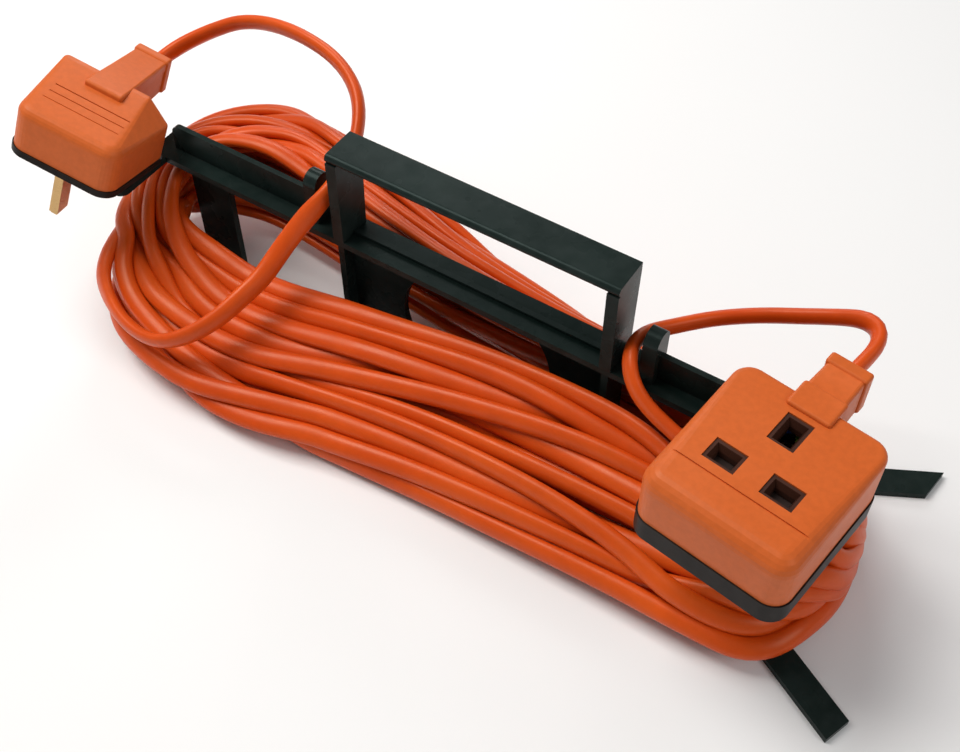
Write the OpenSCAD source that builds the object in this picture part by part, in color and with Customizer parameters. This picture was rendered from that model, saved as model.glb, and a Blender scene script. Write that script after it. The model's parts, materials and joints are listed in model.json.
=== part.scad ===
// Extension lead on a flat carrier: a black cable carrier with a carrying handle, a flat
// orange flex wound round its legs, a fused three-pin plug and a one-gang socket outlet.
// +X runs along the carrier to the socket end, -Y is the front, z = 0 is the floor.

/* [Carrier] */
// Half length of the spine between its end arms
spine_half = 156.5; // [150:0.5:165]
// Width of the spine's flange
flange_w = 16.6; // [15:0.1:18]
// Thickness of the flange and of the end arms
flange_t = 3; // [2.5:0.1:3]
// Height of the flange's top above the floor
deck_z = 62.6; // [60:0.1:66]
// Height of the rib along the spine above the deck
rib_h = 13; // [8:0.5:14]
// Thickness of the spine's rib
rib_t = 2.4; // [2:0.1:3]
// How far the end arms reach out over the winding
arm_reach = 36; // [25:1:40]
// Width of each end arm
arm_w = 8.5; // [6:0.5:8.5]

/* [Handle] */
// Half length of the handle over its uprights
handle_half = 65; // [62:0.5:68]
// Height of the handle's top above the floor
handle_top = 107.6; // [104:0.1:110]
// Thickness of the grip bar
grip_t = 4; // [3:0.5:5]
// Thickness of each upright
upright_t = 5; // [4:0.5:6]
// Clear width of the slot between an upright and its cord hook
slot_w = 10; // [9.5:0.5:11]
// Height of a cord hook above the deck
hook_h = 24; // [16:0.5:26]

/* [Feet] */
// Width of each floor strip
strip_w = 11.6; // [10:0.1:13]
// Thickness of the floor strips
strip_t = 3; // [2.5:0.5:3]
// Splay of the floor strips from the carrier's length
splay = 28; // [26:1:30]
// How far the right front strip reaches along X
front_reach = 192; // [188:1:196]
// How far the right back strip reaches along X
back_reach = 186; // [180:1:190]
// How far the left strip reaches, under the winding
left_reach = 160; // [150:1:162]

/* [Socket outlet] */
// Height of the socket's black base
socket_base_h = 9.5; // [8:0.5:10]
// Height of the whole socket outlet
socket_h = 33; // [31:0.5:34]
// Turn of the socket on the deck
socket_turn = -8; // [-8:0.5:-6]
// Travel of the safety shutter
shutter_travel = 6; // [5.5:0.1:6]

/* [Plug] */
// Thickness of the plug's black base
plug_base_t = 3; // [2.5:0.5:3.5]
// Length of the earth pin
earth_pin_l = 22.7; // [22.2:0.1:23.2]
// Length of the live and neutral pins
power_pin_l = 17.7; // [17.2:0.1:18.2]

/* [Flex] */
// Width of the flat flex
flex_w = 8.8; // [8:0.1:8.8]
// Thickness of the flat flex
flex_t = 5.6; // [5:0.1:5.6]
// Top of the winding above the floor
coil_top = 52; // [48:1:54]

/* [Hidden] */

orange = [0.93, 0.36, 0.13];
black = [0.07, 0.08, 0.08];
brown = [0.17, 0.09, 0.07];
brass = [0.80, 0.64, 0.32];
steel = [0.70, 0.70, 0.72];

deck_under = deck_z - flange_t;
rib_start = handle_half + slot_w + 6;   // the cord hook is 6 thick
hook_x = handle_half + slot_w;
strip_root = handle_half - 1;           // where a strip's outer edge meets y = 0

// Three-pin geometry, millimetres
pin_gap = 11.11;        // live and neutral from the centre line
pin_drop = 22.23;       // earth from the live-neutral line
power_pin = [6.35, 3.97];
earth_pin = [3.97, 7.95];

// Socket outlet, in its own frame: live-neutral midpoint at x = y = 0, base at z = 0
socket_box = [[-30, -25], [31, 40]];
socket_r = 8;
socket_at = [135.7, -44.5];
wall = 2.4;
liner_z = 27;           // underside of the slot liner
cover_in_z = 30;        // underside of the cover's top wall
neck_end = 62;
cable_z = 25;           // height of the cable in the socket's neck

// Plug, in its own frame: earth pin at the origin, pins along -Z, base from z = 0
plug_at = [-172.2, -47.8, 78.2];
plug_tilt = [-13, 17, 11];
plug_neck_end = 67;
plug_cable_z = 18;

// The model is set so that the box of all but the flex is centred on the Z axis
front_lean = 4;         // how much further the right front strip's inner corner reaches
shift_x = -(front_reach + front_lean - spine_half - arm_w) / 2;
strip_y = (back_reach - strip_root) * tan(splay);
socket_front = socket_at[1]
  + (socket_box[1][0] - socket_r) * sin(socket_turn)
  + (socket_box[0][1] + socket_r) * cos(socket_turn) - socket_r;
shift_y = -(strip_y + socket_front) / 2;

$fn = 48;

// ---------- shared shapes ----------

module carrier_frame() {
  translate([shift_x, shift_y, 0]) children();
}

module socket_frame() {
  carrier_frame()
    translate([socket_at[0], socket_at[1], deck_z])
      rotate([0, 0, socket_turn])
        children();
}

module plug_frame() {
  carrier_frame()
    translate(plug_at) rotate(plug_tilt) children();
}

// A rectangle between two corners with round corners
module round_rect(low, high, r) {
  translate([low[0] + r, low[1]]) square([high[0] - low[0] - 2 * r, high[1] - low[1]]);
  translate([low[0], low[1] + r]) square([high[0] - low[0], high[1] - low[1] - 2 * r]);
  for (x = [low[0] + r, high[0] - r])
    for (y = [low[1] + r, high[1] - r])
      translate([x, y]) circle(r);
}

module block(low, high) {
  translate(low) cube(high - low);
}

// A vertical corner post, radius r, whose top edge is rounded by round_r
module soft_post(p, r, z0, z1, round_r) {
  translate([p[0], p[1], z0]) cylinder(r = r, h = z1 - z0 - round_r, $fn = 32);
  translate([p[0], p[1], z1 - round_r])
    rotate_extrude($fn = 32)
      intersection() {
        translate([r - round_r, 0]) circle(round_r, $fn = 24);
        square(2 * r);
      }
}

// A block whose vertical and top edges are rounded
module soft_block(low, high, r) {
  hull()
    for (x = [low[0] + r, high[0] - r])
      for (y = [low[1] + r, high[1] - r])
        soft_post([x, y], r, low[2], high[2], r * 0.99);
}

// A flat slot shape with round ends, standing along Y, as the flex's section
module flex_section() {
  run = (flex_w - flex_t) / 2;
  square([flex_t, 2 * run], center = true);
  for (s = [-1, 1]) translate([0, s * run]) circle(flex_t / 2);
}

function unit(v) = v / norm(v);

// A smooth curve through the points: Catmull-Rom with `steps` pieces between neighbours
function spline_at(a, b, c, d, t) =
  0.5 * (2 * b + (c - a) * t + (2 * a - 5 * b + 4 * c - d) * t * t
         + (3 * b - a - 3 * c + d) * t * t * t);
function smooth(p, steps) = [
  for (i = [0:len(p) - 2]) for (k = [0:steps - 1])
    spline_at(p[max(i - 1, 0)], p[i], p[i + 1], p[min(i + 2, len(p) - 1)], k / steps),
  p[len(p) - 1]
];

// A tube swept along a route, with half sizes a across and b up
module swept(route, a, b, sides) {
  n = len(route);
  points = [
    for (i = [0:n - 1])
      let (along = unit(route[min(i + 1, n - 1)] - route[max(i - 1, 0)]))
      let (across = unit(cross(along, [0, 0, 1])))
      let (up = cross(across, along))
      for (k = [0:sides - 1])
        route[i] + across * a * cos(360 * k / sides) + up * b * sin(360 * k / sides)
  ];
  faces = concat(
    [[for (k = [sides - 1:-1:0]) k]],
    [[for (k = [0:sides - 1]) (n - 1) * sides + k]],
    [for (i = [0:n - 2]) for (k = [0:sides - 1])
      let (j = (k + 1) % sides)
      [i * sides + k, i * sides + j, (i + 1) * sides + j, (i + 1) * sides + k]]
  );
  polyhedron(points, faces);
}

// ---------- carrier ----------

module spine() {
  color(black) carrier_frame() {
    block([-spine_half, -flange_w / 2, deck_under], [spine_half, flange_w / 2, deck_z]);
    // low ridge under the handle
    block([-handle_half + upright_t, -rib_t / 2, deck_z],
          [handle_half - upright_t, rib_t / 2, deck_z + 1.5]);
    for (s = [0, 1]) mirror([s, 0, 0]) rib();
  }
}

module rib() {
  r = 4;
  block([rib_start, -rib_t / 2, deck_z], [spine_half - r, rib_t / 2, deck_z + rib_h]);
  block([rib_start, -rib_t / 2, deck_z], [spine_half, rib_t / 2, deck_z + rib_h - r]);
  translate([spine_half - r, 0, deck_z + rib_h - r])
    rotate([90, 0, 0]) cylinder(r = r, h = rib_t, center = true);
}

module handle_grip() {
  edge = grip_t / 2;
  color(black) carrier_frame() {
    block([-handle_half, -flange_w / 2 + edge, handle_top - grip_t],
          [handle_half, flange_w / 2 + 0.4, handle_top]);
    // rounded front edge
    translate([-handle_half, -flange_w / 2 + edge, handle_top - edge])
      rotate([0, 90, 0]) cylinder(r = edge, h = 2 * handle_half);
  }
}

module upright() {
  h = handle_top - grip_t - deck_z;
  translate([handle_half - upright_t, 0, deck_z])
    rotate([90, 0, 90])
      linear_extrude(upright_t)
        polygon([[-flange_w / 2, 0], [flange_w / 2 - 0.8, 0],
                 [flange_w / 2 + 0.4, h], [-flange_w / 2, h]]);
}

module left_upright() {
  color(black) carrier_frame() mirror([1, 0, 0]) upright();
}

module right_upright() {
  color(black) carrier_frame() upright();
}

// A flat post with a round top that keeps the flex in the slot beside the upright
module hook() {
  r = 5;
  block([hook_x, -r, deck_z], [rib_start, r, deck_z + hook_h - r]);
  translate([hook_x, 0, deck_z + hook_h - r])
    rotate([0, 90, 0]) cylinder(r = r, h = rib_start - hook_x);
}

module left_hook() {
  color(black) carrier_frame() mirror([1, 0, 0]) hook();
}

module right_hook() {
  color(black) carrier_frame() hook();
}

// Web under the handle with a curved inner edge and a cross rib on its outer edge
module pedestal() {
  web = 3;
  inner = 22;
  outer = strip_root;
  waist = 34;
  rotate([90, 0, 0])
    linear_extrude(web, center = true)
      difference() {
        translate([inner, strip_t]) square([outer - web - inner, deck_under - strip_t]);
        translate([inner - waist + 14, (deck_under + strip_t) / 2]) circle(waist, $fn = 96);
      }
  block([outer - web, -flange_w / 2 + 1, strip_t], [outer, flange_w / 2 - 1, deck_under]);
}

module left_pedestal() {
  color(black) carrier_frame() mirror([1, 0, 0]) pedestal();
}

module right_pedestal() {
  color(black) carrier_frame() pedestal();
}

// Floor strip under a pedestal, notched where the two splayed strips begin
module foot_rail() {
  half = strip_w / 2;
  notch = strip_root + half / tan(splay);
  linear_extrude(strip_t)
    polygon([[22, -half], [notch, -half], [strip_root, 0], [notch, half], [22, half]]);
}

module left_foot_rail() {
  color(black) carrier_frame() mirror([1, 0, 0]) foot_rail();
}

module right_foot_rail() {
  color(black) carrier_frame() foot_rail();
}

// Plain web from the floor to the deck between the winding's ends
module end_leg() {
  block([129, -1.5, 0], [150, 1.5, deck_under]);
}

module left_end_leg() {
  color(black) carrier_frame() mirror([1, 0, 0]) end_leg();
}

module right_end_leg() {
  color(black) carrier_frame() end_leg();
}

// Flat arm across the spine's end that reaches out over the front of the winding
module end_arm() {
  tip = arm_w / 2;
  translate([spine_half, 0, deck_under])
    linear_extrude(flange_t) {
      translate([0, -arm_reach + tip]) square([arm_w, arm_reach - tip + flange_w / 2]);
      translate([tip, -arm_reach + tip]) circle(tip);
    }
}

module left_end_arm() {
  color(black) carrier_frame() mirror([1, 0, 0]) end_arm();
}

module right_end_arm() {
  color(black) carrier_frame() end_arm();
}

// One splayed floor strip on the +Y side; `lean` carries its inner corner past the outer one
module strip(reach, lean) {
  along = tan(splay);
  inner_root = strip_root + strip_w / sin(splay);
  linear_extrude(strip_t)
    polygon([[strip_root, 0], [inner_root, 0],
             [reach + lean, (reach + lean - inner_root) * along],
             [reach, (reach - strip_root) * along]]);
}

module front_left_strip() {
  color(black) carrier_frame() mirror([1, 0, 0]) mirror([0, 1, 0]) strip(left_reach, 0);
}

module front_right_strip() {
  color(black) carrier_frame() mirror([0, 1, 0]) strip(front_reach, front_lean);
}

module back_right_strip() {
  color(black) carrier_frame() strip(back_reach, -2);
}

// ---------- socket outlet ----------

// Places of the three pins as [x, y, size across X, size along Y]
socket_pins = [
  [pin_gap, 0, power_pin[0], power_pin[1]],
  [-pin_gap, 0, power_pin[0], power_pin[1]],
  [0, pin_drop, earth_pin[0], earth_pin[1]]
];
slot_play = 1.3;        // how much wider a slot is than its pin
funnel_play = [[5.8, 5.4], [5.8, 5.4], [6.2, 5.6]];
socket_screw_spots = [[-23, -18], [24, -18], [-23, 33], [24, 33]];
socket_grip_x = 10.5;
socket_grip_y = 33.2;

module socket_base() {
  floor_t = 2.5;
  color(black) socket_frame() difference() {
    linear_extrude(socket_base_h)
      round_rect(socket_box[0], socket_box[1], socket_r);
    translate([0, 0, floor_t]) linear_extrude(socket_base_h)
      round_rect(socket_box[0] + [wall, wall], socket_box[1] - [wall, wall], socket_r - wall);
    for (p = socket_screw_spots)
      translate([p[0], p[1], -1]) cylinder(r = 2, h = floor_t + 2);
  }
}

module socket_shell_outer() {
  low = socket_box[0] + [0.6, 0.6];
  high = socket_box[1] - [0.6, 0.6];
  r = socket_r - 0.6;
  hull() {
    for (x = [low[0] + r, high[0] - r]) {
      soft_post([x, low[1] + r], r, socket_base_h, socket_h, 7);
      soft_post([x, high[1] - r], r, socket_base_h, socket_h, 2.5);
    }
  }
}

module socket_neck() {
  z0 = 16.4;
  hull() {
    soft_block([-7.6, 36, z0], [8.6, 40, socket_h + 0.6], 1.5);
    soft_block([-7, neck_end - 5, z0 + 0.4], [8, neck_end - 1, z0 + 16.2], 1.5);
  }
  // raised saddle on the cover and the collar at the neck's end
  soft_block([-8.2, 31.5, socket_h - 3], [9.2, 44, socket_h + 1.6], 1.2);
  soft_block([-7.9, neck_end - 5.5, z0], [8.9, neck_end, z0 + 17.2], 1.2);
}

module socket_cover() {
  color(orange) socket_frame() difference() {
    union() {
      difference() {
        socket_shell_outer();
        translate([0, 0, socket_base_h - 1])
          linear_extrude(cover_in_z - socket_base_h + 1)
            round_rect(socket_box[0] + [wall + 0.6, wall + 0.6],
                       socket_box[1] - [wall + 0.6, wall + 0.6], 4);
      }
      socket_neck();
      for (p = socket_screw_spots)
        translate([p[0], p[1], 12]) cylinder(r = 3, h = cover_in_z - 11.5);
      for (s = [-1, 1])
        translate([s * socket_grip_x, socket_grip_y, 20.5])
          cylinder(r = 2.6, h = cover_in_z - 20);
    }
    for (i = [0:2]) pin_window(socket_pins[i], funnel_play[i], 0.1);
    for (p = socket_screw_spots)
      translate([p[0], p[1], 11]) cylinder(r = 1.55, h = 15);
    for (s = [-1, 1])
      translate([s * socket_grip_x, socket_grip_y, 20]) cylinder(r = 1.3, h = 9);
    // channel for the flex through the neck
    translate([0.5, 30, cable_z]) rotate([-90, 0, 0]) cylinder(r = 5, h = 40);
    // parting groove across the front of the top
    block([-40, -9.4, socket_h - 0.6], [40, -8.6, socket_h + 2]);
  }
}

// Window in the cover for one pin, grown by `play` on each side
module pin_window(pin, funnel, play) {
  w = pin[2] + funnel[0] + 2 * play;
  d = pin[3] + funnel[1] + 2 * play;
  translate([pin[0] - w / 2, pin[1] - d / 2, cover_in_z - 1]) cube([w, d, 10]);
}

// Dark insert under the cover whose collars fill the three windows
module socket_slot_liner() {
  rail_in = 16.4;
  color(brown) socket_frame() {
    difference() {
      union() {
        block([-20, -12, liner_z], [20, 28.6, cover_in_z]);
        for (i = [0:2]) liner_collar(socket_pins[i], funnel_play[i]);
      }
      for (i = [0:2]) liner_funnel(socket_pins[i], funnel_play[i]);
    }
    // rails and ledges that guide the shutter
    for (s = [0, 1]) mirror([s, 0, 0]) {
      block([rail_in, -12, 23], [rail_in + 2, 14, liner_z]);
      block([rail_in - 2, -12, 23], [rail_in, 14, 24.3]);
    }
    // abutment for the shutter's spring
    block([-4, -18, 23], [4, -16.5, liner_z]);
    block([-4, -18, liner_z], [4, -12, cover_in_z]);
  }
}

module liner_collar(pin, funnel) {
  w = pin[2] + funnel[0];
  d = pin[3] + funnel[1];
  translate([pin[0] - w / 2, pin[1] - d / 2, cover_in_z]) cube([w, d, socket_h - cover_in_z - 0.6]);
}

module liner_funnel(pin, funnel) {
  lip = 1;
  top = [pin[2] + funnel[0] - 2 * lip, pin[3] + funnel[1] - 2 * lip];
  low = [pin[2] + slot_play, pin[3] + slot_play];
  z_mid = 29.4;
  translate([pin[0], pin[1], 0]) {
    translate([-low[0] / 2, -low[1] / 2, liner_z - 1]) cube([low[0], low[1], 6]);
    hull() {
      translate([-low[0] / 2, -low[1] / 2, z_mid]) cube([low[0], low[1], 0.02]);
      translate([-top[0] / 2, -top[1] / 2, socket_h]) cube([top[0], top[1], 0.02]);
    }
  }
}

// Sprung plate that closes the live and neutral slots until the earth pin pushes its ramp
module socket_shutter() {
  z0 = 24.7;
  t = 1.8;
  color("ivory") socket_frame() {
    block([-16, -3.4, z0], [16, 3.4, z0 + t]);
    block([-2, 3.4, z0], [2, 17.4, z0 + t]);
    // ramp under the earth slot
    translate([-2, 0, 0]) rotate([90, 0, 90])
      linear_extrude(4)
        polygon([[17.4, z0 - 3], [23.4, z0 - 3], [17.4, z0 + t]]);
  }
}

// Return spring, a coil of wire between the shutter and its abutment
module shutter_spring() {
  turns = 5;
  wire = 0.35;
  coil_r = 1.3;
  start = -16.4;
  stop = -3.5;
  steps = turns * 10;
  route = [
    for (i = [0:steps])
      [coil_r * cos(360 * i / 10), start + wire + (stop - start - 2 * wire) * i / steps,
       25.3 + coil_r * sin(360 * i / 10)]
  ];
  color(steel) socket_frame() coil_of_wire(route, wire);
}

// A wire of six sides along a coil that runs along Y
module coil_of_wire(route, r) {
  n = len(route);
  sides = 6;
  points = [
    for (i = [0:n - 1])
      let (along = unit(route[min(i + 1, n - 1)] - route[max(i - 1, 0)]))
      let (out = unit(cross(along, [0, 1, 0])))
      let (up = cross(out, along))
      for (k = [0:sides - 1])
        route[i] + out * r * cos(60 * k) + up * r * sin(60 * k)
  ];
  faces = concat(
    [[for (k = [sides - 1:-1:0]) k]],
    [[for (k = [0:sides - 1]) (n - 1) * sides + k]],
    [for (i = [0:n - 2]) for (k = [0:sides - 1])
      let (j = (k + 1) % sides)
      [i * sides + k, i * sides + j, (i + 1) * sides + j, (i + 1) * sides + k]]
  );
  polyhedron(points, faces);
}

// Sprung brass clip under one slot, with a terminal block beside it
module contact(pin, block_at) {
  z0 = 2.5;
  z1 = 21;
  leaf = 1;
  w = pin[2];
  d = pin[3];
  difference() {
    block([pin[0] - w / 2 - leaf, pin[1] - d / 2 - leaf, z0],
          [pin[0] + w / 2 + leaf, pin[1] + d / 2 + leaf, z1]);
    block([pin[0] - w / 2, pin[1] - d / 2, z0 + 2],
          [pin[0] + w / 2, pin[1] + d / 2, z1 + 1]);
  }
  difference() {
    block([block_at[0] - 4, block_at[1] - 3.5, z0], [block_at[0] + 4, block_at[1] + 3.5, 12]);
    translate([block_at[0], block_at[1], 6]) cylinder(r = 1.6, h = 10);
  }
}

live_block = [pin_gap + 1, -6.5];
neutral_block = [-pin_gap - 1, -6.5];
earth_block = [9, 24];

module socket_live_contact() {
  color(brass) socket_frame() contact(socket_pins[0], live_block);
}

module socket_neutral_contact() {
  color(brass) socket_frame() contact(socket_pins[1], neutral_block);
}

module socket_earth_contact() {
  color(brass) socket_frame() {
    contact(socket_pins[2], earth_block);
    block([2.9, 22, 2.5], [5.1, 26, 10]);
  }
}

// Screw with a slotted head on top, shank downwards from z
module slotted_screw(r, length, head_r, head_h) {
  translate([0, 0, -length]) cylinder(r = r, h = length);
  difference() {
    cylinder(r = head_r, h = head_h);
    translate([-head_r, -0.4, head_h - 0.8]) cube([2 * head_r, 0.8, 1]);
  }
}

module socket_terminal_screws() {
  color(brass) socket_frame()
    for (p = [live_block, neutral_block, earth_block])
      translate([p[0], p[1], 12]) slotted_screw(1.55, 3.5, 2.6, 1.6);
}

// Clamp bar that holds the flex up against the cover's posts
module socket_cord_grip() {
  color(black) socket_frame() difference() {
    block([-socket_grip_x - 3, socket_grip_y - 2.4, 17.5],
          [socket_grip_x + 3, socket_grip_y + 2.4, 20.4]);
    for (s = [-1, 1])
      translate([s * socket_grip_x, socket_grip_y, 16]) cylinder(r = 1.5, h = 6);
  }
}

module socket_cord_grip_screws() {
  color(steel) socket_frame()
    for (s = [-1, 1])
      translate([s * socket_grip_x, socket_grip_y, 17.4]) mirror([0, 0, 1])
        slotted_screw(1.25, 10.5, 2.4, 1.4);
}

module socket_cover_screws() {
  color(steel) socket_frame()
    for (p = socket_screw_spots)
      translate([p[0], p[1], 2.5]) {
        mirror([0, 0, 1]) slotted_screw(1.5, 18, 1.9, 1.6);
      }
}

// End of the flex's sheath in the neck
module socket_cable_end() {
  color(orange) socket_frame()
    translate([0.5, 31, cable_z]) rotate([-90, 0, 0])
      linear_extrude(neck_end - 31) flex_section();
}

// One insulated core along its own route
module core(route) {
  swept(smooth(route, 3), 1.1, 1.1, 8);
}

module socket_live_core() {
  color("saddlebrown") socket_frame()
    core([[2, 29.6, 26], [9, 27.4, 19], [21, 20, 13], [23, 6, 9], [21, -4, 8], [17.3, -6.5, 8]]);
}

module socket_neutral_core() {
  color("royalblue") socket_frame()
    core([[-1, 29.6, 26], [-9, 27.4, 19], [-21, 20, 13], [-23, 6, 9], [-21, -4, 8], [-17.3, -6.5, 8]]);
}

module socket_earth_core() {
  color("yellowgreen") socket_frame()
    core([[0.5, 29.6, 23], [3, 28.8, 18], [9, 29.2, 12], [13, 29.4, 9], [16, 27, 7.5], [14.3, 24, 7.5]]);
}

// ---------- plug ----------

plug_front = -7;
plug_back = 34;
plug_half_front = 24.3;
plug_half_back = 24.6;
plug_front_r = 8;       // corner radii seen from above
plug_back_r = 3;
plug_flare = 2.6;       // how far the right side widens towards the back
plug_cut = 7;           // width of the slope down to the back right corner
plug_drop = 7.5;        // how much lower the cover is at that corner
plug_top_front = 24;
plug_top_back = 28.6;
plug_grip_y = 28.8;
plug_grip_x = 9.5;

// Centres of the rounds at the back, left to right, and how much lower the cover is there
function plug_back_spots() =
  let (x = plug_half_back - plug_back_r)
  let (y = plug_back - plug_back_r)
  [[-x, y, 0], [x - plug_cut, y, 0], [x + plug_flare, y - 0.5, plug_drop]];

// Outline of the plug: large round corners in front, tighter ones beside the flex
module plug_outline(inset) {
  hull() {
    for (s = [-1, 1])
      translate([s * (plug_half_front - plug_front_r), plug_front + plug_front_r])
        circle(plug_front_r - inset);
    for (p = plug_back_spots())
      translate([p[0], p[1]]) circle(plug_back_r - inset);
  }
}

// Outline of the hollow, kept clear of the low corner
module plug_hollow() {
  difference() {
    plug_outline(wall);
    translate([plug_half_back, plug_back]) rotate(45) square([16, 16], center = true);
  }
}

module plug_base() {
  color(black) plug_frame() difference() {
    linear_extrude(plug_base_t) plug_outline(0);
    for (p = plug_pins) {
      w = p[2] + 0.2;
      d = p[3] + 0.2;
      translate([p[0] - w / 2, p[1] - d / 2, -1]) cube([w, d, plug_base_t + 2]);
    }
    translate([0, 10, -1]) cylinder(r = 2.4, h = plug_base_t + 2);
  }
}

// Pins as [x, y, size across X, size along Y]; live is on -X so that it meets the outlet's
plug_pins = [
  [0, 0, earth_pin[0], earth_pin[1]],
  [-pin_gap, pin_drop, power_pin[0], power_pin[1]],
  [pin_gap, pin_drop, power_pin[0], power_pin[1]]
];

// Height of the plug's sloping top at y
function plug_top(y) =
  plug_top_front + (plug_top_back - plug_top_front) * (y - plug_front) / (plug_back - plug_front);

module plug_shell_outer() {
  set_in = 0.6;
  hull() {
    for (s = [-1, 1])
      soft_post([s * (plug_half_front - plug_front_r), plug_front + plug_front_r],
                plug_front_r - set_in, plug_base_t, plug_top_front, 5);
    for (p = plug_back_spots())
      soft_post(p, plug_back_r - set_in, plug_base_t,
                plug_top(p[1] + plug_back_r) - p[2], 1.5);
  }
}

// Neck, its flat top that runs onto the cover as a saddle, and the collar at its end
module plug_neck() {
  half = 8;
  hull() {
    soft_block([-half, 32, 10.5], [half, 36, 27], 1.5);
    soft_block([-half + 0.5, plug_neck_end - 5, 11], [half - 0.5, plug_neck_end - 1, 25.2], 1.5);
  }
  hull() {
    soft_block([-half - 0.6, 21, 24], [half + 0.6, 25, plug_top_back + 1], 1.2);
    soft_block([-half + 0.3, plug_neck_end - 7, 22], [half - 0.3, plug_neck_end - 2, 25.8], 1.2);
  }
  soft_block([-half - 0.3, plug_neck_end - 5, 10.6], [half + 0.3, plug_neck_end, 26.6], 1.2);
}

module plug_cover() {
  slope = atan((plug_top(1) - plug_top(0)));
  color(orange) plug_frame() difference() {
    union() {
      difference() {
        plug_shell_outer();
        translate([0, 0, plug_base_t - 1])
          linear_extrude(18.4) plug_hollow();
      }
      plug_neck();
      for (s = [-1, 1])
        translate([s * plug_grip_x, plug_grip_y, 13]) cylinder(r = 2.4, h = 10);
      translate([0, 10, 13]) cylinder(r = 3, h = 10);
    }
    translate([0, 25, plug_cable_z]) rotate([-90, 0, 0]) cylinder(r = 4.8, h = 50);
    for (s = [-1, 1])
      translate([s * plug_grip_x, plug_grip_y, 12]) cylinder(r = 1.3, h = 10);
    translate([0, 10, 12]) cylinder(r = 1.55, h = 9);
    // shallow grip lines across the sloping top
    for (y = [5, 9.5, 14])
      translate([0, y, plug_top(y)])
        rotate([slope, 0, 0]) cube([34, 0.6, 1.4], center = true);
  }
}

// A flat pin below the face and its solid block inside the plug
module plug_pin(p, length) {
  tip = 1;
  block([p[0] - p[2] / 2, p[1] - p[3] / 2, tip - length], [p[0] + p[2] / 2, p[1] + p[3] / 2, 3]);
  block([p[0] - p[2] / 2 + 0.6, p[1] - p[3] / 2 + 0.6, -length],
        [p[0] + p[2] / 2 - 0.6, p[1] + p[3] / 2 - 0.6, tip - length]);
  difference() {
    block([p[0] - 3.4, p[1] - 3.4, 3], [p[0] + 3.4, p[1] + 3.4, 10]);
    translate([p[0], p[1], 5]) cylinder(r = 1.5, h = 6);
  }
}

module plug_earth_pin() {
  color(brass) plug_frame() plug_pin(plug_pins[0], earth_pin_l);
}

module plug_live_pin() {
  color(brass) plug_frame() plug_pin(plug_pins[1], power_pin_l);
}

module plug_neutral_pin() {
  color(brass) plug_frame() plug_pin(plug_pins[2], power_pin_l);
}

fuse_r = 3.175;
fuse_l = 25.4;
fuse_at = [-14.6, 8.8, 15.5];

module plug_fuse() {
  color("gainsboro") plug_frame()
    translate(fuse_at - [0, fuse_l / 2, 0])
      rotate([-90, 0, 0]) cylinder(r = fuse_r, h = fuse_l);
}

// Two spring clips that hold the fuse by its caps
module plug_fuse_clips() {
  inner = fuse_r + 0.05;
  color(brass) plug_frame()
    for (s = [-1, 1])
      translate(fuse_at + [0, s * (fuse_l / 2 - 3), 0])
        rotate([90, 0, 0])
          difference() {
            translate([-inner - 0.8, -5.4, -2.5]) cube([2 * inner + 1.6, 7.4, 5]);
            translate([0, 0, -3]) cylinder(r = inner, h = 6);
            translate([-inner + 0.6, 0, -3]) cube([2 * inner - 1.2, 5, 6]);
          }
}

module plug_terminal_screws() {
  color(brass) plug_frame()
    for (p = [plug_pins[0], plug_pins[2]])
      translate([p[0], p[1], 10]) slotted_screw(1.45, 4, 2.4, 1.4);
}

module plug_cord_grip() {
  color(black) plug_frame() difference() {
    block([-plug_grip_x - 2.8, plug_grip_y - 2.6, 10.4], [plug_grip_x + 2.8, plug_grip_y + 1, 12.9]);
    for (s = [-1, 1])
      translate([s * plug_grip_x, plug_grip_y, 8]) cylinder(r = 1.5, h = 6);
  }
}

module plug_cord_grip_screws() {
  color(steel) plug_frame()
    for (s = [-1, 1])
      translate([s * plug_grip_x, plug_grip_y, 10.3]) mirror([0, 0, 1])
        slotted_screw(1.25, 10, 2.2, 1.4);
}

module plug_cover_screw() {
  color(steel) plug_frame()
    translate([0, 10, 2.6]) mirror([0, 0, 1]) slotted_screw(1.5, 17, 2.3, 1.6);
}

module plug_cable_end() {
  color(orange) plug_frame()
    translate([0, 27.6, plug_cable_z]) rotate([-90, 0, 0])
      linear_extrude(plug_neck_end - 27.6) flex_section();
}

module plug_live_core() {
  color("saddlebrown") plug_frame()
    core([[-1.5, 26.3, 18.4], [-6, 23.4, 18.2], [-8.8, 16, 17.8], [-9.3, 8, 16.4], [-9.3, 2, 13], [-9, -2, 9]]);
}

module plug_neutral_core() {
  color("royalblue") plug_frame()
    core([[1.5, 26.3, 18.8], [5, 24.2, 18.4], [9, 20, 17.6], [14, 16, 14.4], [17.4, 18, 9], [15.8, 21, 7]]);
}

module plug_earth_core() {
  color("yellowgreen") plug_frame()
    core([[0, 26.3, 15.8], [0.5, 22, 14], [5, 14, 12.4], [8.4, 7, 9], [8, 2, 7.4], [4.7, 0, 7.4]]);
}

// ---------- flex ----------

// Outline of the winding seen from above, round the carrier's legs
coil_outline = [
  [175, -8], [174, -30], [166, -50], [155, -59], [137, -64], [113, -63], [60, -64], [20, -64],
  [-25, -65], [-80, -80], [-105, -79], [-124, -74], [-145, -62], [-166, -46], [-178, -26],
  [-184, 0], [-185, 24], [-182, 42], [-172, 56], [-156, 66], [-134, 69.5], [-108, 69.5],
  [-72, 63], [-28, 47], [25, 43], [80, 42], [122, 42], [152, 32], [170, 8]
];
coil_step_z = 30;       // height of the winding's broad foot

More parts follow.
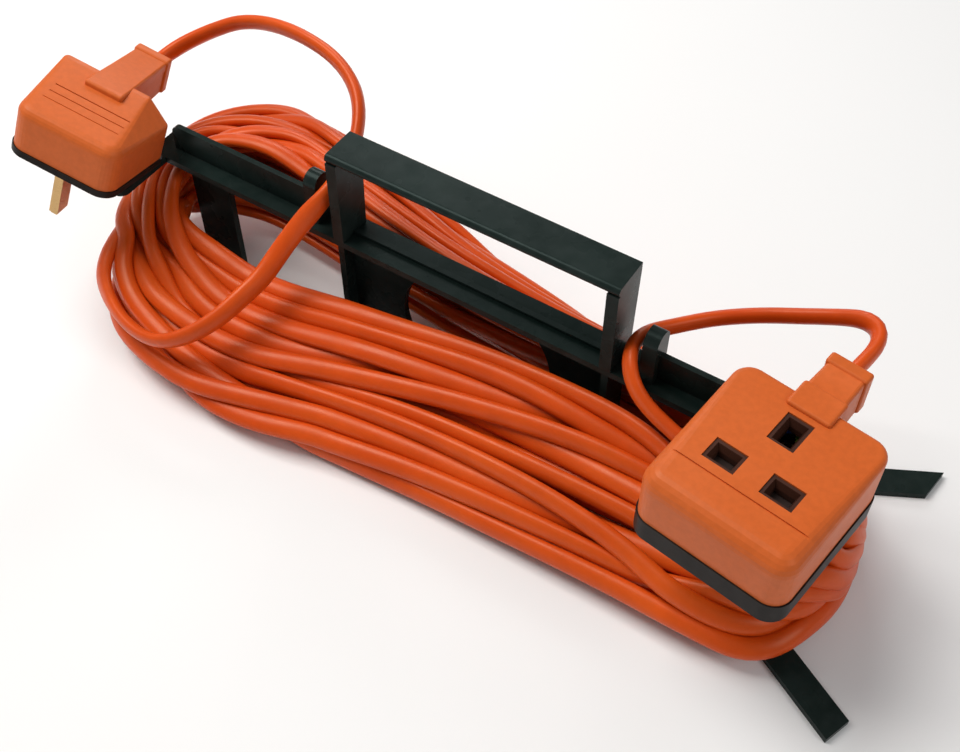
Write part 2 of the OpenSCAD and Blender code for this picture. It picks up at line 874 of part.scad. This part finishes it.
// Outer shape of the whole winding: a broad foot and a narrower top, open round the legs
module cord_coil() {
  top_outline = [for (p = coil_outline) [p[0] * 0.98, p[1] * 0.86]];
  color(orange) carrier_frame() difference() {
    union() {
      translate([0, 0, strip_t]) linear_extrude(coil_step_z - strip_t) polygon(coil_outline);
      translate([0, 0, coil_step_z]) linear_extrude(coil_top - coil_step_z) polygon(top_outline);
    }
    translate([0, 0, -1]) linear_extrude(coil_top + 2)
      round_rect([-152, -15], [152, 11], 8);
  }
}

// Route of the flex from the plug, over the back, through the left slot and round the front
plug_route = [
  [-184.85, 20.7, 80.5], [-186.3, 26.6, 79.4], [-183.2, 34, 82], [-176, 41.5, 86.5],
  [-167, 47, 91.5], [-156, 50.5, 97], [-141, 52, 101],
  [-122, 50, 104], [-102, 46, 104], [-87, 39, 102], [-77, 30, 99], [-71, 19, 93],
  [-70, 8, 86], [-70, -3, 81], [-73, -10, 76], [-78, -16, 67], [-82, -24, 58],
  [-84, -34, 51], [-87, -45, 47], [-91, -55, 42], [-99, -65, 36], [-109, -71, 31],
  [-120, -72, 28], [-132, -70, 27], [-143, -66, 27], [-152, -61, 27], [-160, -55, 27],
  [-165, -47, 29], [-167, -39, 31]
];

// Route of the flex from the socket, over the back, through the right slot and under it
socket_route = [
  [144.9, 17.6, 87.6], [146, 24, 88], [148, 32, 90], [147, 39, 91], [140, 44, 89],
  [129, 45, 83], [117, 43, 78], [102, 38, 74], [88, 29, 72], [77, 16, 73],
  [70, 5, 75], [70, -4, 75], [75, -12, 71], [82, -15, 65], [92, -17, 61],
  [104, -19, 58], [118, -24, 55], [132, -30, 52], [146, -34, 47]
];

module plug_tail() {
  color(orange) carrier_frame() swept(smooth(plug_route, 2), flex_t / 2, flex_w / 2, 10);
}

module socket_tail() {
  color(orange) carrier_frame() swept(smooth(socket_route, 2), flex_t / 2, flex_w / 2, 10);
}

spine();
handle_grip();
left_upright();
right_upright();
left_hook();
right_hook();
left_pedestal();
right_pedestal();
left_foot_rail();
right_foot_rail();
left_end_leg();
right_end_leg();
left_end_arm();
right_end_arm();
front_left_strip();
front_right_strip();
back_right_strip();
socket_base();
socket_cover();
socket_slot_liner();
socket_shutter();
shutter_spring();
socket_live_contact();
socket_neutral_contact();
socket_earth_contact();
socket_terminal_screws();
socket_cord_grip();
socket_cord_grip_screws();
socket_cover_screws();
socket_cable_end();
socket_live_core();
socket_neutral_core();
socket_earth_core();
plug_base();
plug_cover();
plug_earth_pin();
plug_live_pin();
plug_neutral_pin();
plug_fuse();
plug_fuse_clips();
plug_terminal_screws();
plug_cord_grip();
plug_cord_grip_screws();
plug_cover_screw();
plug_cable_end();
plug_live_core();
plug_neutral_core();
plug_earth_core();
cord_coil();
plug_tail();
socket_tail();
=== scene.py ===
"""Extension lead on a flat cable carrier: orange flat flex, a fused plug and a socket outlet.

Lengths in the tables are millimetres from the carrier's centre, as in the CAD model;
place() turns them into metres in the row frame.
"""
import json
import math

import bpy
import numpy as np
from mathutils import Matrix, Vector


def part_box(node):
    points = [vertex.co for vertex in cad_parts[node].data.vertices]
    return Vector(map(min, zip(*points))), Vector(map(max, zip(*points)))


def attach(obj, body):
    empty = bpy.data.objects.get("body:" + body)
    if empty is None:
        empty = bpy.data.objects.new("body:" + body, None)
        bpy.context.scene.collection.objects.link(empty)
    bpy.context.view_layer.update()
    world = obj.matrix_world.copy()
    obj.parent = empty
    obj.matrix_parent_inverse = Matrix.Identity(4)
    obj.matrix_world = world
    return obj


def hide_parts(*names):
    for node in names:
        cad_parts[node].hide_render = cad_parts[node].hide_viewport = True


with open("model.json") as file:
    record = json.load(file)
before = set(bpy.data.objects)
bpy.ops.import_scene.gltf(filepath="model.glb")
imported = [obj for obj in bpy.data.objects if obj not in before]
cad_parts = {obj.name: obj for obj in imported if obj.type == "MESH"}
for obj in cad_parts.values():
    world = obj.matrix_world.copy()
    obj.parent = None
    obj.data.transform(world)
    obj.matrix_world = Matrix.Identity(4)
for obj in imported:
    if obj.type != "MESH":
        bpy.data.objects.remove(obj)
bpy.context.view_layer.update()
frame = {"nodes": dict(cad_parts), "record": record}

MM = 0.001
CARRIER_BODY = "carrier_and_lead"

spine_low, spine_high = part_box("spine")
CENTRE_X = (spine_low[0] + spine_high[0]) / 2
CENTRE_Y = (spine_low[1] + spine_high[1]) / 2


def place(points):
    """Millimetres from the carrier's centre to metres in the row frame."""
    p = np.atleast_2d(np.array(points, float)) * MM
    return p + np.array([CENTRE_X, CENTRE_Y, 0.0])


# ---------------------------------------------------------------- camera

AZIMUTH = math.radians(33.0)
ELEVATION = math.radians(51.16)
DISTANCE = 485.7            # mm from the target
TARGET = (25.84, -37.84, 64.86)
LENS = 48.75
SENSOR_WIDTH = 36.0


def add_camera():
    back = np.array([
        math.sin(AZIMUTH) * math.cos(ELEVATION),
        -math.cos(AZIMUTH) * math.cos(ELEVATION),
        math.sin(ELEVATION),
    ])
    data = bpy.data.cameras.new("camera")
    data.lens = LENS
    data.sensor_width = SENSOR_WIDTH
    data.clip_start = 0.01
    data.clip_end = 20.0
    camera = bpy.data.objects.new("camera", data)
    bpy.context.scene.collection.objects.link(camera)
    camera.location = place(np.array(TARGET) + back * DISTANCE)[0]
    camera.rotation_euler = Vector(-back).to_track_quat("-Z", "Y").to_euler()
    bpy.context.scene.camera = camera


add_camera()

# ---------------------------------------------------------------- the flex

FLEX_W = 8.8                # width of the flat flex
FLEX_T = 5.6                # its thickness
HALF_W = FLEX_W / 2
HALF_T = FLEX_T / 2

# Free end from the socket's neck, over the back, through the right slot, onto the winding
SOCKET_ROUTE = [
    (144.9, 17.6, 87.6), (146, 24, 88), (148, 32, 90), (147, 39, 91), (140, 44, 89),
    (129, 45, 83), (117, 43, 78), (102, 38, 74), (88, 29, 72), (77, 16, 73),
    (70, 5, 75), (70, -4, 75), (75, -12, 71), (82, -15, 65), (92, -17, 61),
    (104, -19, 58), (118, -24, 55), (132, -30, 52), (146, -34, 47),
]

# Free end from the plug's neck, over the back, through the left slot, round the front
PLUG_ROUTE = [
    (-184.85, 20.7, 80.5), (-186.3, 26.6, 79.4), (-183.2, 34, 82), (-176, 41.5, 86.5),
    (-167, 47, 91.5), (-156, 50.5, 97), (-141, 52, 101),
    (-122, 50, 104), (-102, 46, 104), (-87, 39, 102), (-77, 30, 99), (-71, 19, 93),
    (-70, 8, 86), (-70, -3, 81), (-73, -10, 76), (-78, -16, 67), (-82, -24, 58),
    (-84, -34, 51), (-87, -45, 47), (-91, -55, 42), (-99, -65, 36), (-109, -71, 31),
    (-120, -72, 28), (-132, -70, 27), (-143, -66, 27), (-152, -61, 27), (-160, -55, 27),
    (-165, -47, 29), (-167, -39, 31),
]

# Sections across the winding, in the order the flex runs: the inner edge, the outer edge,
# the heap's height at each, and how far in from the inner edge most turns keep
SECTIONS = [
    (141, -17, 157, -60, 54, 20, 0), (151, -10, 169, -44, 52, 30, 0),
    (154, -2, 175, -14, 50, 26, 0), (152, 8, 168, 17, 46, 18, 0),
    (140, 14, 152, 34, 46, 16, 0), (116, 13, 120, 41, 48, 16, 0), (78, 12, 80, 43, 50, 18, 0),
    (28, 11, 28, 43, 52, 22, 0), (-22, 13, -27, 48, 55, 32, 0), (-68, 18, -75, 62, 57, 46, 0),
    (-103, 22, -117, 70, 59, 52, 0), (-131, 22, -147, 69, 59, 52, 0),
    (-148, 14, -177, 52, 58, 48, 0), (-154, 4, -186, 20, 55, 42, 0),
    (-151, -8, -182, -14, 52, 38, 0), (-142, -17, -168, -42, 50, 30, 0),
    (-126, -19, -150, -69, 42, 18, 6), (-104, -19, -116, -86, 34, 12, 13),
    (-75, -18, -79, -86, 36, 11, 11), (-36, -15, -38, -70, 46, 12, 3),
    (10, -11, 9, -67, 54, 12, 0), (56, -10, 58, -67, 56, 12, 0), (95, -11, 99, -66, 55, 14, 0),
    (121, -15, 134, -65, 54, 16, 0),
]
STEPS = 4                   # stations between neighbouring sections
SEED = 22
TURNS = 19                  # rows of turns, the last one not whole
FIRST = 1                   # station at which the winding begins
LAST = 58                   # station at which it ends, on the last turn
FLOOR = 3.0                 # top of the carrier's floor strips
SHOWN_SHARE = 0.56          # share of the turns that lie on the heap's face
LAYER_IN = 3.5              # how far the turns inside lie behind and below the face's
LAYER_DOWN = 8.5
AIM_SMOOTHING = 36          # times the aimed-at places are averaged along the flex
ROUNDS = 420                # rounds of packing
CLEARANCE = 1.02            # spacing of two turns that touch, over the sum of their half sizes
FAR_AWAY = 1e6
SLACK_TURN = 9              # this turn hangs alone across the gap at the left front
SLACK = (66, 74)            # stations at the middle of which it does
SLACK_SPOT = (4.5, 29)      # its place there: mm out from the inner edge, and height
SPACING = 3.0               # between the rings of the finished tube


def catmull(a, b, c, d, t):
    return 0.5 * (2 * b + (c - a) * t + (2 * a - 5 * b + 4 * c - d) * t * t
                  + (3 * b - a - 3 * c + d) * t ** 3)


def closed_curve(rows, steps):
    """Rows of numbers round a closed loop, with `steps` samples between neighbours."""
    rows = np.array(rows, float)
    n = len(rows)
    out = []
    for i in range(n):
        a, b, c, d = rows[i - 1], rows[i], rows[(i + 1) % n], rows[(i + 2) % n]
        out += [catmull(a, b, c, d, k / steps) for k in range(steps)]
    return np.array(out)


def open_curve(rows, steps):
    """The same along an open line, with its last row kept."""
    rows = np.array(rows, float)
    n = len(rows)
    out = []
    for i in range(n - 1):
        a, b, c, d = rows[max(i - 1, 0)], rows[i], rows[i + 1], rows[min(i + 2, n - 1)]
        out += [catmull(a, b, c, d, k / steps) for k in range(steps)]
    return np.array(out + [rows[-1]])


def resample(points, spacing, *others):
    """Evenly spaced points along a polyline, and the other rows carried along with them."""
    step = np.linalg.norm(np.diff(points, axis=0), axis=1)
    along = np.concatenate([[0], np.cumsum(step)])
    count = int(round(along[-1] / spacing)) + 1
    at = np.linspace(0, along[-1], count)
    return [
        np.stack([np.interp(at, along, column) for column in rows.T], axis=1)
        for rows in (points, *others)
    ]


def smooth_noise(rng, count, knot, low, high, keep=0.0):
    """A slow random walk between low and high, with a new value about every `knot` samples."""
    values = rng.uniform(low, high, count // knot + 4)
    for i in range(1, len(values)):
        if rng.uniform() < keep:
            values[i] = values[i - 1]
    at = np.arange(count) / knot
    i = at.astype(int)
    f = at - i
    f = f * f * (3 - 2 * f)
    return values[i] * (1 - f) + values[i + 1] * f


def radius_towards(angle, direction):
    """Half size of the oval section whose wide axis is at `angle`, along `direction`."""
    c = np.cos(direction - angle) / HALF_W
    s = np.sin(direction - angle) / HALF_T
    return 1 / np.sqrt(c * c + s * s)


def wind():
    """Packs the turns of the winding. Returns their centre line and wide axes, in mm."""
    rng = np.random.default_rng(SEED)
    sections = closed_curve(SECTIONS, STEPS)
    stations = len(sections)
    inner, outer = sections[:, 0:2], sections[:, 2:4]
    width = np.linalg.norm(outer - inner, axis=1)
    out = (outer - inner) / width[:, None]
    top_in, top_out, set_in = sections[:, 4], sections[:, 5], sections[:, 6]

    count = TURNS * stations
    station = np.arange(count) % stations
    live = np.zeros(count, bool)
    live[FIRST:(TURNS - 1) * stations + LAST] = True
    grid = np.arange(count).reshape(TURNS, stations).T

    def heap_top(n, s):
        part = np.clip(n / width[s], 0, 1)
        return top_in[s] - (top_in[s] - top_out[s]) * part ** 1.15

    # slow wandering of each stretch across and through the heap
    across = smooth_noise(rng, count, 28, 0.0, 1.0, keep=0.35)
    depth = smooth_noise(rng, count, 34, 0.0, 1.0, keep=0.35)
    lean = smooth_noise(rng, count, 15, -0.55, 0.55)

    # share the heap's face out among the outer turns, and its inside among the rest
    aim = np.zeros((count, 2))
    for s in range(stations):
        rows = grid[s]
        rows = rows[live[rows]]
        order = rows[np.argsort(depth[rows])]
        shown = int(round(len(rows) * SHOWN_SHARE))
        for layer, members in ((0, order[:shown]), (1, order[shown:])):
            ranked = members[np.argsort(across[members])]
            share = (np.arange(len(ranked)) + 0.25) / (len(ranked) - 0.5)
            n = set_in[s] + HALF_T + share * (width[s] - set_in[s] - 2 * HALF_T)
            z = heap_top(n, s) - HALF_T - 0.8
            if layer and inner[s, 1] > 5:
                n, z = HALF_T + 0.3 * n, FLOOR + 4 + share * 32
            elif layer:
                n, z = n - LAYER_IN, z - LAYER_DOWN
            aim[ranked, 0], aim[ranked, 1] = n, np.maximum(z, FLOOR + HALF_T)
    # the rows before the first and after the last point of the winding stay beside them
    first, last = np.flatnonzero(live)[[0, -1]]
    aim[:first], aim[last + 1:] = aim[first], aim[last]
    # the slack turn
    middle = SLACK_TURN * stations + sum(SLACK) / 2
    share = np.exp(-((np.arange(count) - middle) / 7.0) ** 4)
    for axis in (0, 1):
        aim[:, axis] += share * (SLACK_SPOT[axis] - aim[:, axis])
    for _ in range(AIM_SMOOTHING):
        aim[1:-1] += 0.5 * ((aim[:-2] + aim[2:]) / 2 - aim[1:-1])
    spot = np.round(aim, 5)

    # wide faces lie along the heap's slope
    slope = np.arctan2(top_out - top_in, width)
    angle = slope[station] - 0.25 + lean

    # the free ends hold the first and last points
    ends = {}
    for index, point in (
        (FIRST - 1, SOCKET_ROUTE[-1]),
        ((TURNS - 1) * stations + LAST, PLUG_ROUTE[-1]),
    ):
        s = station[index]
        ends[index] = (float((np.array(point[:2]) - inner[s]) @ out[s]), point[2])

    # places where the plug's free end lies on the heap, as fixed neighbours
    tail = open_curve(PLUG_ROUTE, 6)
    fixed = np.full((stations, 2), FAR_AWAY)
    for s in range(stations):
        rel = tail[:, :2] - inner[s]
        n = rel @ out[s]
        aside = np.abs(rel[:, 0] * out[s][1] - rel[:, 1] * out[s][0])
        on_heap = (n > -2) & (n < width[s] + 8) & (tail[:, 2] < 56)
        near = np.where(on_heap, aside, FAR_AWAY)
        best = int(np.argmin(near))
        if near[best] < 4:
            fixed[s] = n[best], tail[best, 2]

    for step in range(ROUNDS):
        calm = step / ROUNDS
        spot += 0.03 * (1 - calm) * (aim - spot)
        # bending: every point leans towards the line through its neighbours
        padded = np.vstack([spot[:1], spot, spot[-1:]])
        middle = (padded[:-2] + padded[2:]) / 2
        spot += (0.35 if calm < 0.9 else 0.12) * (middle - spot)
        # no two stretches share a place in one section
        at = spot[grid]
        tilt = angle[grid]
        alive = live[grid]
        gap = at[:, :, None, :] - at[:, None, :, :]
        far = np.linalg.norm(gap, axis=3) + 1e-6
        direction = np.arctan2(gap[..., 1], gap[..., 0])
        need = (radius_towards(tilt[:, :, None], direction)
                + radius_towards(tilt[:, None, :], direction))
        over = np.clip(need * CLEARANCE - far, 0, None)
        over *= alive[:, :, None] & alive[:, None, :]
        over[:, np.arange(TURNS), np.arange(TURNS)] = 0
        push = (gap / far[..., None] * over[..., None]).sum(axis=2) * 0.42
        # and none shares the free end's place
        gap = at - fixed[:, None, :]
        far = np.linalg.norm(gap, axis=2) + 1e-6
        direction = np.arctan2(gap[..., 1], gap[..., 0])
        over = np.clip(radius_towards(tilt, direction) + HALF_W - far, 0, None)
        push += gap / far[..., None] * over[..., None] * 0.8
        spot[grid] += push
        # walls: the legs inside, the floor, and the slope of the heap
        side = radius_towards(angle, 0.0)
        up = radius_towards(angle, math.pi / 2)
        spot[:, 0] = np.clip(spot[:, 0], side, width[station] - side)
        ceiling = heap_top(spot[:, 0], station) + 2 - up
        spot[:, 1] = np.maximum(np.minimum(spot[:, 1], ceiling), FLOOR + up)
        for index, value in ends.items():
            spot[index] = value
        # rounding stops last-digit differences from growing, so that every run is the same
        spot = np.round(spot, 5)

    keep = np.flatnonzero(live)
    s = station[keep]
    line = np.empty((len(keep), 3))
    line[:, :2] = inner[s] + out[s] * spot[keep, :1]
    line[:, 2] = spot[keep, 1]
    wide = np.empty_like(line)
    wide[:, :2] = out[s] * np.cos(angle[keep])[:, None]
    wide[:, 2] = np.sin(angle[keep])
    return line, wide


def end_axes(points, marks):
    """Wide axes along a free end, eased between the (share of the way, axis) marks."""
    share = np.linspace(0, 1, len(points))
    at = [m[0] for m in marks]
    axes = np.array([m[1] for m in marks], float)
    return np.stack([np.interp(share, at, axes[:, k]) for k in range(3)], axis=1)


def unit_rows(v):
    return v / np.linalg.norm(v, axis=1)[:, None]


def flex_line():
    """The whole flex as one line from the socket to the plug, with its wide axes."""
    turns, turns_wide = wind()
    first = open_curve(SOCKET_ROUTE, 5)
    last = open_curve(PLUG_ROUTE, 5)[::-1]
    first_wide = end_axes(first, [
        (0, (0, 0, 1)), (0.25, (0.3, -0.3, 1)), (0.6, (0.3, -0.1, 1)), (0.8, (0.2, -0.3, 0.9)),
        (1, turns_wide[0]),
    ])
    if turns_wide[-1] @ np.array([0, 0, 1]) < 0:
        turns_wide = -turns_wide
        first_wide[-len(first_wide) // 5:] = end_axes(
            first[-len(first_wide) // 5:], [(0, (0.2, -0.3, 0.9)), (1, turns_wide[0])])
    last_wide = end_axes(last, [
        (0, turns_wide[-1]), (0.25, (-0.2, -0.4, 0.9)), (0.45, (-0.6, 0.2, 0.7)),
        (0.6, (0.3, -0.4, 0.8)), (0.85, (0.3, -0.4, 0.8)), (1, (0.24, 0.28, 0.93)),
    ])
    line = np.vstack([first, turns, last])
    wide = np.vstack([first_wide, turns_wide, last_wide])
    line, wide = resample(line, SPACING, wide)
    # ease the joins between the free ends and the winding
    for _ in range(6):
        line[1:-1] += 0.3 * ((line[:-2] + line[2:]) / 2 - line[1:-1])
        wide[1:-1] += 0.5 * ((wide[:-2] + wide[2:]) / 2 - wide[1:-1])
    return line, wide


def mesh_object(name, verts, faces, smooth=True):
    mesh = bpy.data.meshes.new(name)
    mesh.from_pydata([tuple(v) for v in verts], [], faces)
    mesh.update()
    if smooth:
        mesh.polygons.foreach_set("use_smooth", [True] * len(mesh.polygons))
    piece = bpy.data.objects.new(name, mesh)
    bpy.context.scene.collection.objects.link(piece)
    return piece


def oval_tube(name, line, wide, sides=14):
    """A closed tube of the flex's oval section along a line, in metres."""
    along = unit_rows(np.gradient(line, axis=0))
    across = unit_rows(np.cross(along, wide))
    up = np.cross(across, along)
    turn = np.linspace(0, 2 * math.pi, sides, endpoint=False)
    rings = (line[:, None, :]
             + across[:, None, :] * (HALF_T * MM * np.cos(turn))[None, :, None]
             + up[:, None, :] * (HALF_W * MM * np.sin(turn))[None, :, None])
    n = len(line)
    faces = [
        (i * sides + k, i * sides + (k + 1) % sides,
         (i + 1) * sides + (k + 1) % sides, (i + 1) * sides + k)
        for i in range(n - 1) for k in range(sides)
    ]
    faces.append(tuple(range(sides - 1, -1, -1)))
    faces.append(tuple((n - 1) * sides + k for k in range(sides)))
    return mesh_object(name, rings.reshape(-1, 3), faces)


line_mm, wide_axes = flex_line()
flex_path = place(line_mm)
FLEX_LENGTH = float(np.linalg.norm(np.diff(flex_path, axis=0), axis=1).sum())
print("flex length", round(FLEX_LENGTH, 3))
flex = oval_tube("flex", flex_path, wide_axes)
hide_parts("cord_coil", "plug_tail", "socket_tail")
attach(flex, CARRIER_BODY)

# ---------------------------------------------------------------- materials


def node_tree(name):
    material = bpy.data.materials.new(name)
    material.use_nodes = True
    tree = material.node_tree
    tree.nodes.clear()
    shader = tree.nodes.new("ShaderNodeBsdfPrincipled")
    output = tree.nodes.new("ShaderNodeOutputMaterial")
    tree.links.new(shader.outputs["BSDF"], output.inputs["Surface"])
    return material, tree, shader


def noise(tree, scale, detail=3.0, rough=0.5, stretch=None):
    """Noise in object space, `scale` features to the metre."""
    coords = tree.nodes.new("ShaderNodeTexCoord")
    mapping = tree.nodes.new("ShaderNodeMapping")
    if stretch:
        mapping.inputs["Scale"].default_value = stretch
    tree.links.new(coords.outputs["Object"], mapping.inputs["Vector"])
    texture = tree.nodes.new("ShaderNodeTexNoise")
    texture.inputs["Scale"].default_value = scale
    texture.inputs["Detail"].default_value = detail
    texture.inputs["Roughness"].default_value = rough
    tree.links.new(mapping.outputs["Vector"], texture.inputs["Vector"])
    return texture.outputs["Fac"]


def ramp(tree, value, stops):
    node = tree.nodes.new("ShaderNodeValToRGB")
    elements = node.color_ramp.elements
    while len(elements) < len(stops):
        elements.new(0.5)
    for element, (at, colour) in zip(elements, stops):
        element.position = at
        element.color = (*colour, 1) if len(colour) == 3 else colour
    tree.links.new(value, node.inputs["Fac"])
    return node.outputs["Color"]


def mix(tree, factor, a, b, blend="MIX"):
    node = tree.nodes.new("ShaderNodeMix")
    node.data_type = "RGBA"
    node.blend_type = blend
    for socket, value in (("Factor", factor), ("A", a), ("B", b)):
        places = [i for i in node.inputs if i.name == socket and i.enabled]
        if isinstance(value, bpy.types.NodeSocket):
            tree.links.new(value, places[0])
        elif isinstance(value, (int, float)):
            places[0].default_value = value
        else:
            places[0].default_value = (*value, 1)
    return [o for o in node.outputs if o.enabled][0]


def maths(tree, operation, a, b):
    node = tree.nodes.new("ShaderNodeMath")
    node.operation = operation
    for i, value in enumerate((a, b)):
        if isinstance(value, bpy.types.NodeSocket):
            tree.links.new(value, node.inputs[i])
        else:
            node.inputs[i].default_value = value
    return node.outputs[0]


def bump(tree, shader, height, strength, distance):
    node = tree.nodes.new("ShaderNodeBump")
    node.inputs["Strength"].default_value = strength
    node.inputs["Distance"].default_value = distance
    tree.links.new(height, node.inputs["Height"])
    tree.links.new(node.outputs["Normal"], shader.inputs["Normal"])
    return node


def edge_mask(tree, low=0.52, high=0.60):
    """Bright where the surface is a sharp outer edge."""
    geometry = tree.nodes.new("ShaderNodeNewGeometry")
    return ramp(tree, geometry.outputs["Pointiness"], [(low, (0, 0, 0)), (high, (1, 1, 1))])


def moulded_plastic(name, colour, dark, light, rough, grain=900.0, depth=0.00006,
                    wear=0.25, gloss=0.3, shine=(1, 1, 1)):
    """Moulded plastic: fine grain, slow colour drift, scuffs, and paler rubbed edges."""
    material, tree, shader = node_tree(name)
    drift = noise(tree, 18.0, 2.0)
    base = ramp(tree, drift, [(0.3, dark), (0.5, colour), (0.72, light)])
    speck = ramp(tree, noise(tree, 420.0, 4.0), [(0.35, (0.95,) * 3), (0.65, (1.03,) * 3)])
    base = mix(tree, 1.0, base, speck, "MULTIPLY")
    scuff = maths(tree, "MULTIPLY", edge_mask(tree), noise(tree, 160.0, 5.0))
    base = mix(tree, maths(tree, "MULTIPLY", scuff, wear), base,
               tuple(min(1.0, c * 1.6 + 0.05) for c in light))
    tree.links.new(base, shader.inputs["Base Color"])
    smear = ramp(tree, noise(tree, 60.0, 3.0, 0.55),
                 [(0.3, (rough - 0.03,) * 3), (0.7, (rough + 0.06,) * 3)])
    tree.links.new(smear, shader.inputs["Roughness"])
    shader.inputs["IOR"].default_value = 1.47
    shader.inputs["Specular IOR Level"].default_value = gloss
    shader.inputs["Specular Tint"].default_value = (*shine, 1)
    bump(tree, shader, noise(tree, grain, 4.0, 0.6), 0.35, depth)
    return material


def metal(name, colour, rough, scratch=(1.0, 1.0, 12.0)):
    material, tree, shader = node_tree(name)
    drift = noise(tree, 90.0, 4.0)
    base = ramp(tree, drift, [(0.3, tuple(c * 0.82 for c in colour)), (0.7, colour)])
    tree.links.new(base, shader.inputs["Base Color"])
    shader.inputs["Metallic"].default_value = 1.0
    lines = noise(tree, 700.0, 3.0, 0.6, scratch)
    tree.links.new(ramp(tree, lines, [(0.3, (rough - 0.08,) * 3), (0.7, (rough + 0.12,) * 3)]),
                   shader.inputs["Roughness"])
    bump(tree, shader, lines, 0.25, 0.00004)
    return material


def flex_sheath(name):
    """Soft PVC sheath: satin gloss, faint drawing lines, dull smears and dust."""
    material, tree, shader = node_tree(name)
    drift = noise(tree, 14.0, 3.0)
    base = ramp(tree, drift, [(0.3, (0.54, 0.052, 0.003)), (0.5, (0.63, 0.070, 0.005)),
                              (0.72, (0.70, 0.092, 0.008))])
    smear = ramp(tree, noise(tree, 120.0, 5.0, 0.7), [(0.3, (0.93,) * 3), (0.7, (1.04,) * 3)])
    base = mix(tree, 1.0, base, smear, "MULTIPLY")
    tree.links.new(base, shader.inputs["Base Color"])
    tree.links.new(ramp(tree, noise(tree, 70.0, 5.0, 0.65),
                        [(0.3, (0.30,) * 3), (0.7, (0.44,) * 3)]), shader.inputs["Roughness"])
    shader.inputs["IOR"].default_value = 1.5
    shader.inputs["Subsurface Weight"].default_value = 0.05
    shader.inputs["Specular IOR Level"].default_value = 0.36
    shader.inputs["Specular Tint"].default_value = (1, 0.78, 0.58, 1)
    shader.inputs["Subsurface Radius"].default_value = (0.004, 0.0012, 0.0006)
    shader.inputs["Subsurface Scale"].default_value = 0.5
    bump(tree, shader, noise(tree, 260.0, 4.0, 0.6), 0.22, 0.00025)
    return material


MATERIALS = {
    "carrier_plastic": moulded_plastic("carrier_plastic", (0.003, 0.0085, 0.007),
                                       (0.0018, 0.006, 0.005), (0.005, 0.013, 0.011), 0.27,
                                       grain=500.0, depth=0.00005, wear=0.35, gloss=0.09,
                                       shine=(0.75, 1, 0.95)),
    "orange_shell": moulded_plastic("orange_shell", (0.585, 0.114, 0.021), (0.565, 0.106, 0.018),
                                    (0.605, 0.122, 0.025), 0.42, grain=1500.0, depth=0.00004,
                                    gloss=0.3, shine=(1, 0.8, 0.62)),
    "orange_flex": flex_sheath("orange_flex"),
    "black_base": moulded_plastic("black_base", (0.008, 0.0045, 0.003), (0.006, 0.0035, 0.0025),
                                  (0.012, 0.007, 0.005), 0.36, wear=0.35, gloss=0.08),
    "brown_insert": moulded_plastic("brown_insert", (0.050, 0.018, 0.011), (0.035, 0.012, 0.008),
                                    (0.075, 0.028, 0.017), 0.28),
    "shutter_plastic": moulded_plastic("shutter_plastic", (0.02, 0.01, 0.008),
                                       (0.015, 0.008, 0.006), (0.03, 0.015, 0.01), 0.4),
    "live_insulation": moulded_plastic("live_insulation", (0.13, 0.045, 0.018),
                                       (0.1, 0.035, 0.014), (0.17, 0.06, 0.024), 0.4),
    "neutral_insulation": moulded_plastic("neutral_insulation", (0.015, 0.07, 0.35),
                                          (0.012, 0.055, 0.28), (0.02, 0.09, 0.42), 0.4),
    "earth_insulation": moulded_plastic("earth_insulation", (0.35, 0.42, 0.02),
                                        (0.03, 0.25, 0.03), (0.6, 0.55, 0.03), 0.4),
    "grip_fibre": moulded_plastic("grip_fibre", (0.02, 0.02, 0.02), (0.014, 0.014, 0.014),
                                  (0.03, 0.03, 0.03), 0.5),
    "fuse_ceramic": moulded_plastic("fuse_ceramic", (0.75, 0.72, 0.66), (0.68, 0.65, 0.6),
                                    (0.8, 0.78, 0.72), 0.3),
    "brass": metal("brass", (0.60, 0.38, 0.17), 0.28),
    "zinc_screws": metal("zinc_screws", (0.66, 0.67, 0.70), 0.3),
    "spring_steel": metal("spring_steel", (0.55, 0.55, 0.57), 0.3),
}

for row in frame["record"]["subparts"]:
    node = frame["nodes"][row["node"]]
    node.data.materials.clear()
    node.data.materials.append(MATERIALS[row["material_slot"]])
flex.data.materials.append(MATERIALS["orange_flex"])

# ---------------------------------------------------------------- stage and light


def add_floor():
    size = 6.0
    floor = mesh_object(
        "floor", [(-size, -size, 0), (size, -size, 0), (size, size, 0), (-size, size, 0)],
        [(0, 1, 2, 3)], smooth=False)
    material, tree, shader = node_tree("floor")
    shader.inputs["Roughness"].default_value = 0.9
    tint = ramp(tree, noise(tree, 3.0, 2.0), [(0.3, (0.86,) * 3), (0.7, (0.88,) * 3)])
    tree.links.new(tint, shader.inputs["Base Color"])
    floor.data.materials.append(material)


def add_area(name, location, target, size, power, colour=(1, 1, 1)):
    data = bpy.data.lights.new(name, "AREA")
    data.size = size
    data.energy = power
    data.color = colour
    lamp = bpy.data.objects.new(name, data)
    bpy.context.scene.collection.objects.link(lamp)
    lamp.location = location
    lamp.rotation_euler = (Vector(target) - Vector(location)).to_track_quat("-Z", "Y").to_euler()


def add_lights():
    world = bpy.data.worlds.new("studio")
    world.use_nodes = True
    background = world.node_tree.nodes["Background"]
    background.inputs["Color"].default_value = (1, 1, 1, 1)
    background.inputs["Strength"].default_value = 0.26
    bpy.context.scene.world = world
    add_area("key", (-0.60, -0.12, 1.12), (0, 0, 0.03), 0.7, 14, (1, 0.98, 0.95))
    add_area("fill", (1.0, -0.1, 0.8), (0, 0, 0.03), 0.5, 3)
    add_area("edge", (-0.6, 0.9, 0.7), (0, 0, 0.05), 0.4, 3)


add_floor()
add_lights()
bpy.context.scene.view_settings.view_transform = "Standard"
